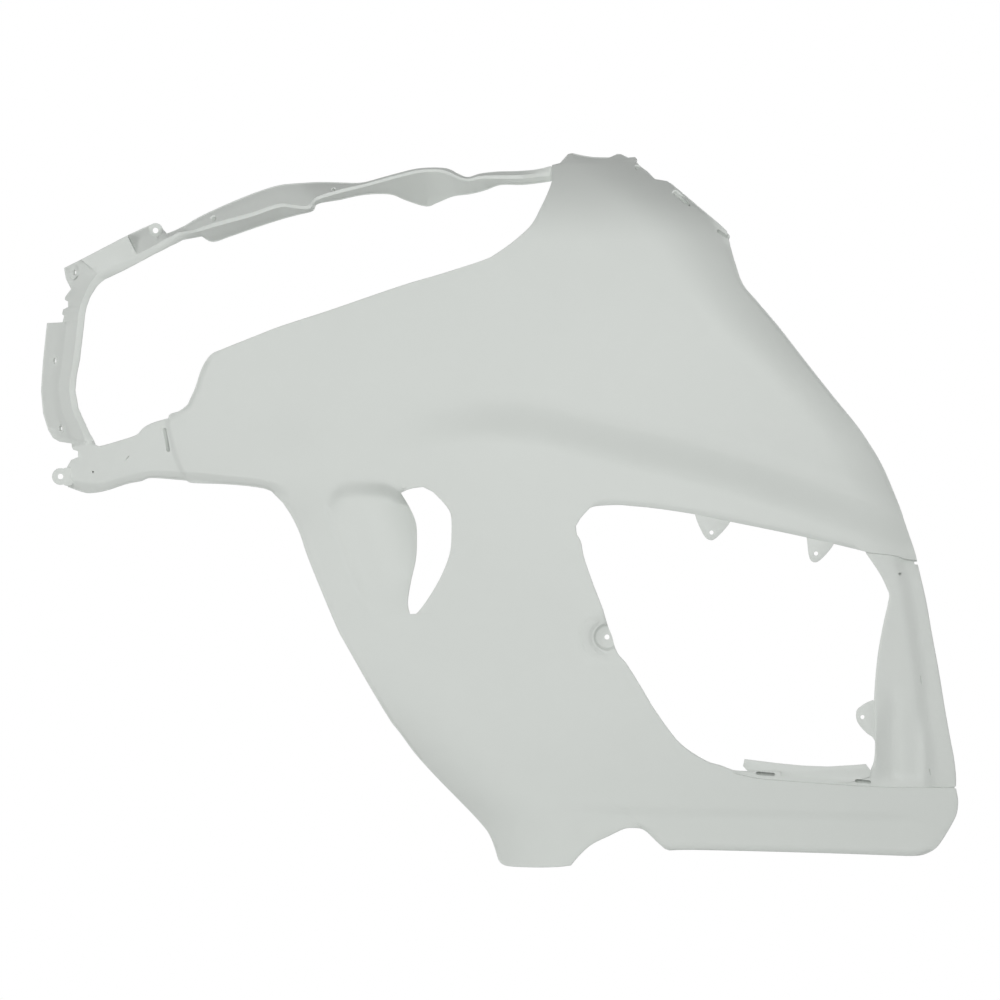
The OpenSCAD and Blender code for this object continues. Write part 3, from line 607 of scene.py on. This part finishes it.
def rows_of(low, high, left, right):
    """Rows of points across a four-sided piece of skin, from its lower line to its upper line."""
    low, high, left, right = (np.asarray(p, float) for p in (low, high, left, right))
    n = len(left) - 1
    dl, dr = distances(left), distances(right)
    rows = [low]
    for j in range(1, n):
        m = max(2, round(np.linalg.norm(right[j] - left[j]) / FACET))
        u = np.arange(m + 1) / m
        v = (dl[j] / dl[n] + dr[j] / dr[n]) / 2
        w = u[:, None]
        row = (1 - v) * share(low, u) + v * share(high, u) + (1 - w) * left[j] + w * right[j]
        row -= (1 - w) * (1 - v) * low[0] + w * (1 - v) * low[-1]
        row -= (1 - w) * v * high[0] + w * v * high[-1]
        row[0], row[-1] = left[j], right[j]
        rows.append(row)
    return [*rows, high]


def zip_rows(a, b):
    """Triangles between two rows that may have different numbers of points."""
    n, m = len(a) - 1, len(b) - 1
    made = []
    for i in range(n):
        j = min(max(-(-((2 * i + 1) * m - n) // (2 * n)), 0), m)
        made.append((a[i], a[i + 1], b[j]))
    for j in range(m):
        i = min(max(((2 * j + 1) * n - m) // (2 * m) + 1, 0), n)
        made.append((a[i], b[j + 1], b[j]))
    return made


def sheet(rows):
    return [t for a, b in zip(rows, rows[1:]) for t in zip_rows(a, b)]


def leg(middle, side, flange):
    """Points from the frame's middle line to one side, a flat rim and then a leg.

    Each is (share of the way, set-back). A flange has a step in its leg.
    """
    length = math.hypot(*(side[:2] - middle[:2]))
    rim = min(RIM_HALF, 0.3 * length)
    shares = [0, rim / length, (rim + min(1, 0.2 * length)) / length]
    shares += [shares[2] + (1 - shares[2]) * t for t in LEG_SHARES]
    back = [(side[2] - middle[2]) * max(0, s * length - rim) / (length - rim) for s in shares]
    step = [flange * FLANGE_STEP * float(ease((s - FLANGE_PART) * 40)) * (1 - s) for s in shares]
    return [(s, b + extra) for s, b, extra in zip(shares, back, step)]


def frame_section(flat, flange):
    """One section across the front frame: a leg to each side of its middle line."""
    outer, middle, inner, steep = flat[0:3], flat[3:6], flat[6:9], flat[9]
    base = face_depth(*middle[:2]) + JOGGLE + middle[2]
    row = []
    for side, points in ((outer, leg(middle, outer, flange)[:0:-1]), (inner, leg(middle, inner, 0))):
        for part, back in points:
            x, z = middle[:2] + (side[:2] - middle[:2]) * part
            row.append((x, z, base + back, WALL * steep))
    return np.array(row)


def frame_rows():
    flat = [[*o, *m, *i, steep] for o, m, i, steep in FRAME]
    stations = joined([straight(flat[: BAR_START + 1]), bowed(flat[BAR_START:], FINE)])
    sections = [frame_section(s, i <= FLANGE_END * FINE) for i, s in enumerate(stations)]
    root = skins(ARM_TOP[: 2 * FINE + 1], JOGGLE)
    even = share(root, np.linspace(0, 1, len(sections[0])))
    neck = [even + (sections[0] - even) * (k / FINE) for k in range(1, FINE)]
    return [root, *neck, *sections, skins(back_to_front(LAMP_END))]


def skin_rows():
    head_low = joined([CHIN, VENT_BROW, VENT_TOP, WAIST, ENGINE_TOP, COLUMN_TOP])
    head_left = joined([JOINT_HIGH, LAMP_FRONT, LAMP_LONG, LAMP_REAR, LAMP_END])
    step_left = straight([lifted(LAND_TOP)[0], ENGINE_FOOT[0]])
    step_right = straight([lifted(LAND_TOP)[-1], COLUMN_FRONT[0]])
    middle_low = joined([FOOT, SKIRT_JOINT, ring([LAND_TOP[:1], step_left])])
    column_left = joined([step_right, COLUMN_FRONT])
    return [
        rows_of(head_low, RIDGE, JOINT_LOW, SLOPE_FOOT),
        rows_of(RIDGE, CROWN, head_left, joined([SLOPE_LOW, SLOPE_MID, SLOPE_TOP])),
        rows_of(FLOOR_FOOT, VENT_BROW, FRONT_HIGH, VENT_FRONT),
        rows_of(MID_FOOT, WAIST, VENT_REAR, ENGINE_FRONT_HIGH),
        rows_of(middle_low, joined([FLOOR_FOOT, MID_FOOT]), FRONT_LOW, ENGINE_FRONT_LOW),
        rows_of(SKIRT_LOW, joined([LAND_TOP, LAND_TOP_REAR]), SKIRT_JOINT, SKIRT_REAR),
        [LAND_TOP, *rows_of(lifted(LAND_TOP), ENGINE_FOOT, step_left, step_right)],
        [LAND_TOP_REAR, *rows_of(lifted(LAND_TOP_REAR), COLUMN_STEP, column_left, COLUMN_REAR), COLUMN_TOP],
    ]


def sheets_and_loops():
    """The skin's triangles, and the closed lines of its outline and openings."""
    strip = frame_rows()
    sheets = [sheet([skins(row) for row in rows]) for rows in skin_rows()]
    sheets.append(sheet([skins(row, JOGGLE) for row in rows_of(ARM_LOW, ARM_TOP, ARM_FRONT, ARM_JOINT)]))
    sheets.append(sheet(list(np.stack([skins(ARM_JOINT, JOGGLE), skins(JOINT)], axis=1))))
    sheets.append(sheet([skins(CROWN), skins(CROWN_EDGE, CROWN_SET)]))
    sheets.append(sheet(strip))
    outer_body = [
        CHIN, back_to_front(FRONT_HIGH), back_to_front(FRONT_LOW), FOOT, SKIRT_LOW, SKIRT_REAR,
        COLUMN_REAR, COLUMN_TOP[-1:], SLOPE_FOOT, SLOPE_LOW, SLOPE_MID, SLOPE_TOP,
    ]
    outer = [
        skins(ARM_LOW, JOGGLE),
        skins(ring(outer_body)),
        skins(back_to_front(CROWN_EDGE), CROWN_SET),
        skins(CROWN[:1]),
        back_to_front([row[0] for row in strip]),
        skins(back_to_front(ARM_FRONT), JOGGLE),
    ]
    lamp = [
        skins(ring([back_to_front(LAMP_REAR), back_to_front(LAMP_LONG), back_to_front(LAMP_FRONT)])),
        skins(back_to_front(ARM_TOP[2 * FINE :]), JOGGLE),
        [row[-1] for row in strip],
    ]
    vent = [skins(ring([VENT_TOP, back_to_front(VENT_REAR), VENT_FRONT]))]
    engine = [
        skins(ring([ENGINE_TOP, back_to_front(COLUMN_FRONT), back_to_front(ENGINE_FOOT)])),
        skins(ring([ENGINE_FRONT_LOW, ENGINE_FRONT_HIGH])),
    ]
    return [t for s in sheets for t in s], [ring(parts) for parts in (outer, lamp, vent, engine)]


def inward(loop):
    """The way into the material at each point of a closed line, and how far its edge may be rounded."""
    before, after = np.roll(loop, 1, axis=0), np.roll(loop, -1, axis=0)
    way = after - before
    length = np.maximum(np.linalg.norm(way, axis=1), 1e-6)[:, None]
    way = np.stack([-way[:, 1], way[:, 0]], axis=1) / length
    sides = np.linalg.norm(loop - before, axis=1), np.linalg.norm(after - loop, axis=1)
    return way, np.minimum(EDGE_R, 0.4 * np.minimum(*sides))[:, None]


def moulded_skin():
    """The whole moulding as one closed mesh, with its outer edges rounded.

    Its faces are wound to point into the material, against those of the plates and pins.
    """
    triangles, loops = sheets_and_loops()
    corners = np.array(triangles).reshape(-1, 4)
    points = np.vstack([corners, *loops])
    _, first, which = np.unique(np.round(points[:, :3], 3), axis=0, return_index=True, return_inverse=True)
    which = which.reshape(-1)
    skin = points[first]
    n = len(skin)
    tri = which[: len(corners)].reshape(-1, 3)
    outer = np.stack([skin[:, 0], skin[:, 2] - SEAT_Y, skin[:, 1]], axis=1)
    inner = outer + np.stack([np.zeros(n), skin[:, 3], np.zeros(n)], axis=1)
    faces = [*tri[:, [0, 2, 1]].tolist(), *(tri + n).tolist()]
    rows = [outer, inner]
    total = 2 * n
    at = len(corners)
    for loop in loops:
        ids = which[at : at + len(loop)]
        at += len(loop)
        ids = ids[ids != np.roll(ids, 1)]
        edge = outer[ids]
        way, r = inward(edge[:, [0, 2]])
        rings = [ids]
        for turn in EDGE_TURNS:
            in_x, in_z = (way * r * (1 - math.sin(math.radians(turn)))).T
            back = r[:, 0] * (1 - math.cos(math.radians(turn)))
            rows.append(edge + np.stack([in_x, back, in_z], axis=1))
            rings.append(total + np.arange(len(ids)))
            total += len(ids)
        outer[ids] += np.stack([way[:, 0] * r[:, 0], np.zeros(len(ids)), way[:, 1] * r[:, 0]], axis=1)
        rings.append(ids + n)
        for low, high in zip(rings, rings[1:]):
            for p, q, s, t in zip(low, np.roll(low, -1), high, np.roll(high, -1)):
                faces += [[p, t, s], [p, q, t]]
    mesh = bpy.data.meshes.new("fairing")
    mesh.from_pydata((np.vstack(rows) * MM).tolist(), [], np.array(faces).tolist())
    mesh.validate()
    return mesh


def new_object(name, mesh):
    obj = bpy.data.objects.new(name, mesh)
    bpy.context.scene.collection.objects.link(obj)
    return obj


def from_bmesh(name, bm):
    bmesh.ops.recalc_face_normals(bm, faces=bm.faces)
    mesh = bpy.data.meshes.new(name)
    bm.to_mesh(mesh)
    bm.free()
    return new_object(name, mesh)


def rounded(outline):
    """The same outline with its corners cut into curves."""
    p = np.asarray(outline, float)
    for _ in range(2):
        q = np.roll(p, -1, axis=0)
        p = np.stack([p * 0.75 + q * 0.25, p * 0.25 + q * 0.75], axis=1).reshape(-1, 2)
    return p


def circle(r):
    a = np.arange(PIN_SIDES) / PIN_SIDES * 2 * math.pi
    return np.stack([r * np.cos(a), r * np.sin(a)], axis=1)


def plate(outline, y, t, soft=0.0):
    """A flat plate along Y on an outline in X and Z, with its front edge rounded by soft."""
    bm = bmesh.new()
    verts = [bm.verts.new(Vector((x, y - SEAT_Y, z)) * MM) for x, z in outline]
    face = bm.faces.new(verts)
    made = bmesh.ops.extrude_face_region(bm, geom=[face])["geom"]
    moved = [g for g in made if isinstance(g, bmesh.types.BMVert)]
    bmesh.ops.translate(bm, vec=(0, t * MM, 0), verts=moved)
    if soft:
        bm.faces.ensure_lookup_table()
        edges = [e for e in bm.edges if all(v in verts for v in e.verts)]
        bmesh.ops.bevel(bm, geom=edges, offset=soft * MM, segments=2, affect="EDGES", profile=0.5)
    return from_bmesh("plate", bm)


def pin(place, y, d, t, turn=0, start=0):
    """A round pin from the face at depth y inwards, turned about the vertical towards the front."""
    obj = plate(circle(d / 2), SEAT_Y + start, t)
    place = Matrix.Translation(Vector((place[0], y - SEAT_Y, place[1])) * MM)
    obj.data.transform(place @ Matrix.Rotation(-math.radians(turn), 4, "Z"))
    return obj


def eye_clearance(eye):
    """Room in the skin in front of an eye's flat face and behind it."""
    place, y, turn, _, r = eye
    d = 2 * r - 2
    front = pin(place, y, d, CLEAR_FRONT, turn, -CLEAR_FRONT)
    return [front, pin(place, y, d, CLEAR_BACK, turn, TAB_T)]


def lathe(profile):
    """A closed turned form round the Y axis through the origin, from (radius, y) points."""
    bm = bmesh.new()
    verts = [bm.verts.new((r * MM, y * MM, 0)) for r, y in profile]
    edges = [bm.edges.new(pair) for pair in zip(verts, verts[1:])]
    turn = {"axis": (0, 1, 0), "cent": (0, 0, 0), "steps": LATHE_SIDES, "angle": 2 * math.pi}
    bmesh.ops.spin(bm, geom=verts + edges, **turn)
    bmesh.ops.remove_doubles(bm, verts=bm.verts, dist=0.001 * MM)
    return from_bmesh("lathe", bm)


def cut(obj, operation, tools):
    """Joins the tools to the object, or cuts them from it."""
    group = bpy.data.collections.new("tools")
    bpy.context.scene.collection.children.link(group)
    for tool in tools:
        bpy.context.scene.collection.objects.unlink(tool)
        group.objects.link(tool)
    mod = obj.modifiers.new("cut", "BOOLEAN")
    mod.operation = operation
    mod.operand_type = "COLLECTION"
    mod.collection = group
    mod.solver = SOLVER
    evaluated = obj.evaluated_get(bpy.context.evaluated_depsgraph_get())
    mesh = bpy.data.meshes.new_from_object(evaluated)
    obj.modifiers.clear()
    obj.data = mesh
    for tool in tools:
        bpy.data.objects.remove(tool)
    bpy.data.collections.remove(group)


def slot_outline(place, length, width, turn):
    """A slot with round ends, turned from the X axis towards -Z."""
    half = (length - width) / 2
    ends = [
        (side * half + width / 2 * math.cos(a + side_angle), width / 2 * math.sin(a + side_angle))
        for side, side_angle in ((1, -math.pi / 2), (-1, math.pi / 2))
        for a in np.linspace(0, math.pi, 7)
    ]
    c, s = math.cos(math.radians(turn)), -math.sin(math.radians(turn))
    return [(place[0] + x * c - z * s, place[1] + x * s + z * c) for x, z in ends]


def seat_pocket():
    """The seat's bowl, and the room in front of it."""
    wall = [
        (BOWL_R + (SEAT_R - BOWL_R) * s, -SEAT_DEPTH * BOWL_PART * float(ease(s)))
        for s in np.linspace(0, 1, 9)
    ]
    return lathe([(0, 0), *wall, (SEAT_R, SEAT_FRONT), (0, SEAT_FRONT)])


def dish_cut():
    """Keeps the wall behind the seat clear of the dish in the skin."""
    fall = 1 - BOWL_PART
    dish = [
        (SEAT_R + DISH_W * s, WALL_GAP - SEAT_DEPTH * (1 - fall * (1 - s) ** DISH_POWER))
        for s in np.linspace(0, 1, 10)
    ]
    start = (0, WALL_GAP - SEAT_DEPTH * BOWL_PART)
    return lathe([start, *dish, (SEAT_R + DISH_W, SEAT_FRONT), (0, SEAT_FRONT)])


def seat_wall():
    """The wall behind the seat, which joins the skin round it."""
    outer = WALL - SEAT_DEPTH - WALL_LAP
    inner = WALL - SEAT_DEPTH + WALL - WALL_LAP
    return lathe([
        (0, outer), (SEAT_R + DISH_W, outer), (SEAT_R + DISH_W, inner),
        (SEAT_R + WALL + 1, inner), (BOWL_R + WALL, WALL), (0, WALL),
    ])


def engine_cut():
    """The part of the engine opening beside the seat."""
    line = ring([[[93, 117]], ENGINE_FRONT_LOW[9 * FINE :], ENGINE_FRONT_HIGH[1 : 5 * FINE + 1]])
    return plate(line, SEAT_Y - ENGINE_CUT_T / 2, ENGINE_CUT_T)


def face_at(obj, place):
    """Depth of the object's outer face at one place."""
    bpy.context.view_layer.update()
    start = Vector((place[0] * MM, -1, place[1] * MM))
    return obj.ray_cast(start, Vector((0, 1, 0)))[1].y / MM + SEAT_Y


def floors(faces):
    """The plates that close the blind slots and the small holes."""
    made = []
    for place, length, width, turn, deep in SLOTS:
        if deep == BLIND:
            outline = slot_outline(place, length + SLOT_MARGIN, width + SLOT_MARGIN, turn)
            made.append(plate(outline, face_depth(*place) + BOSS_START, BOSS_T))
    for (place, d), y in zip(HOLES, faces):
        made.append(pin(place, y + BOSS_START - HOLE_LESS, d + HOLE_MARGIN, BOSS_T))
    return made


def bores(faces):
    """All that is cut from the finished moulding."""
    thick = TAB_T + 2 * BORE_LEAD
    made = [seat_pocket(), pin((0, 0), SEAT_Y - BORE_LEAD, SCREW_BORE_D, 2 * WALL + 2 * BORE_LEAD)]
    made += [pin(place, y, d, thick, turn, -BORE_LEAD) for place, y, turn, d, _ in EYES]
    made += [pin(place, y - BORE_LEAD, TAB_BORE_D, thick) for places, _, y in TABS for place in places]
    made += [plate(slot_outline(*s[:4]), face_depth(*s[0]) - SLOT_LEAD, SLOT_LEAD + s[4]) for s in SLOTS]
    hole_t = HOLE_LEAD + BLIND - HOLE_LESS
    return made + [pin(place, y - HOLE_LEAD, d, hole_t) for (place, d), y in zip(HOLES, faces)]


def fairing():
    """The whole piece: the skin, with all that is joined to it and cut from it."""
    obj = new_object("fairing_moulding", moulded_skin())
    recess = plate(RECESS, face_depth(*RECESS[1]) - SLOT_LEAD, SLOT_LEAD + 2 * WALL)
    cut(obj, "DIFFERENCE", [recess, *[tool for eye in EYES for tool in eye_clearance(eye)]])
    back = seat_wall()
    cut(back, "DIFFERENCE", [engine_cut(), dish_cut()])
    faces = [face_at(obj, place) for place, _ in HOLES]
    solids = [back, plate(LEDGE, LEDGE_Y, TAB_T, TAB_SOFT), *floors(faces)]
    solids += [pin(place, y, 2 * r, TAB_T, turn) for place, y, turn, _, r in EYES]
    solids += [plate(rounded(outline), y, TAB_T, TAB_SOFT) for _, outline, y in TABS]
    cut(obj, "UNION", solids)
    cut(obj, "DIFFERENCE", bores(faces))
    obj.data.shade_smooth()
    obj.data.set_sharp_from_angle(angle=math.radians(SHARP_ANGLE))
    obj.data.materials.clear()
    obj.data.materials.append(plastic())
    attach(obj, "root")
    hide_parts("fairing_shell")


def plastic():
    """Unpainted pale moulded plastic with a soft gloss."""
    mat = bpy.data.materials.new("moulded_plastic")
    mat.use_nodes = True
    nodes, links = mat.node_tree.nodes, mat.node_tree.links
    shader = nodes["Principled BSDF"]
    where = nodes.new("ShaderNodeTexCoord")
    cloud = nodes.new("ShaderNodeTexNoise")
    cloud.inputs["Scale"].default_value = CLOUD_SCALE
    cloud.inputs["Detail"].default_value = CLOUD_DETAIL
    links.new(where.outputs["Object"], cloud.inputs["Vector"])
    tint = nodes.new("ShaderNodeMixRGB")
    tint.inputs["Color1"].default_value = (*[c * (1 - TINT) for c in PLASTIC], 1)
    tint.inputs["Color2"].default_value = (*[c * (1 + TINT) for c in PLASTIC], 1)
    links.new(cloud.outputs["Fac"], tint.inputs["Fac"])
    links.new(tint.outputs["Color"], shader.inputs["Base Color"])
    gloss = nodes.new("ShaderNodeMapRange")
    gloss.inputs["To Min"].default_value, gloss.inputs["To Max"].default_value = ROUGHNESS
    links.new(cloud.outputs["Fac"], gloss.inputs["Value"])
    links.new(gloss.outputs["Result"], shader.inputs["Roughness"])
    shader.inputs["Specular IOR Level"].default_value = SPECULAR
    return mat


def lamp(name, place, watts):
    data = bpy.data.lights.new(name, "AREA")
    data.size = LAMP_SIZE
    data.energy = watts
    obj = bpy.data.objects.new(name, data)
    bpy.context.scene.collection.objects.link(obj)
    obj.location = place
    obj.rotation_mode = "QUATERNION"
    obj.rotation_quaternion = (Vector(LAMP_AIM) - Vector(place)).to_track_quat("-Z", "Y")


def background(nodes):
    node = nodes.new("ShaderNodeBackground")
    node.inputs["Color"].default_value = WHITE
    return node


def surroundings():
    """White to the eye and in the gloss, with a soft light that is stronger from the front."""
    world = bpy.data.worlds.new("studio")
    bpy.context.scene.world = world
    world.use_nodes = True
    nodes, links = world.node_tree.nodes, world.node_tree.links
    nodes.clear()
    out = nodes.new("ShaderNodeOutputWorld")
    seen = nodes.new("ShaderNodeLightPath")
    mix = nodes.new("ShaderNodeMixShader")
    ambient = background(nodes)
    where = nodes.new("ShaderNodeTexCoord")
    facing = nodes.new("ShaderNodeVectorMath")
    facing.operation = "DOT_PRODUCT"
    facing.inputs[1].default_value = (0, -1, 0)
    links.new(where.outputs["Generated"], facing.inputs[0])
    level = nodes.new("ShaderNodeMapRange")
    level.inputs["To Min"].default_value, level.inputs["To Max"].default_value = AMBIENT
    links.new(facing.outputs["Value"], level.inputs["Value"])
    links.new(level.outputs["Result"], ambient.inputs["Strength"])
    white = background(nodes)
    white.inputs["Strength"].default_value = 1
    shown = seen.outputs["Is Camera Ray"]
    for kind in ("Is Glossy Ray", "Is Transmission Ray"):
        either = nodes.new("ShaderNodeMath")
        either.operation = "MAXIMUM"
        links.new(shown, either.inputs[0])
        links.new(seen.outputs[kind], either.inputs[1])
        shown = either.outputs[0]
    links.new(shown, mix.inputs[0])
    links.new(ambient.outputs[0], mix.inputs[1])
    links.new(white.outputs[0], mix.inputs[2])
    links.new(mix.outputs[0], out.inputs["Surface"])


def ground():
    bpy.ops.mesh.primitive_plane_add(size=FLOOR_SIZE, location=FLOOR_PLACE)
    floor = bpy.context.object
    floor.name = "floor"
    mat = bpy.data.materials.new("floor")
    mat.use_nodes = True
    shader = mat.node_tree.nodes["Principled BSDF"]
    shader.inputs["Base Color"].default_value = FLOOR_COLOUR
    shader.inputs["Roughness"].default_value = FLOOR_ROUGHNESS
    floor.data.materials.append(mat)


def studio():
    surroundings()
    for name, place, watts in LAMPS:
        lamp(name, place, watts)
    ground()


def camera():
    """A view along Y without perspective, as the photo has."""
    data = bpy.data.cameras.new("camera")
    data.type = "ORTHO"
    data.ortho_scale = VIEW_WIDTH
    obj = bpy.data.objects.new("camera", data)
    bpy.context.scene.collection.objects.link(obj)
    obj.location = (VIEW_CENTRE[0], -VIEW_DISTANCE, VIEW_CENTRE[1])
    obj.rotation_euler = (math.pi / 2, 0, 0)
    data.clip_end = VIEW_END
    bpy.context.scene.camera = obj
    bpy.context.scene.view_settings.view_transform = "Standard"


fairing()
camera()
studio()
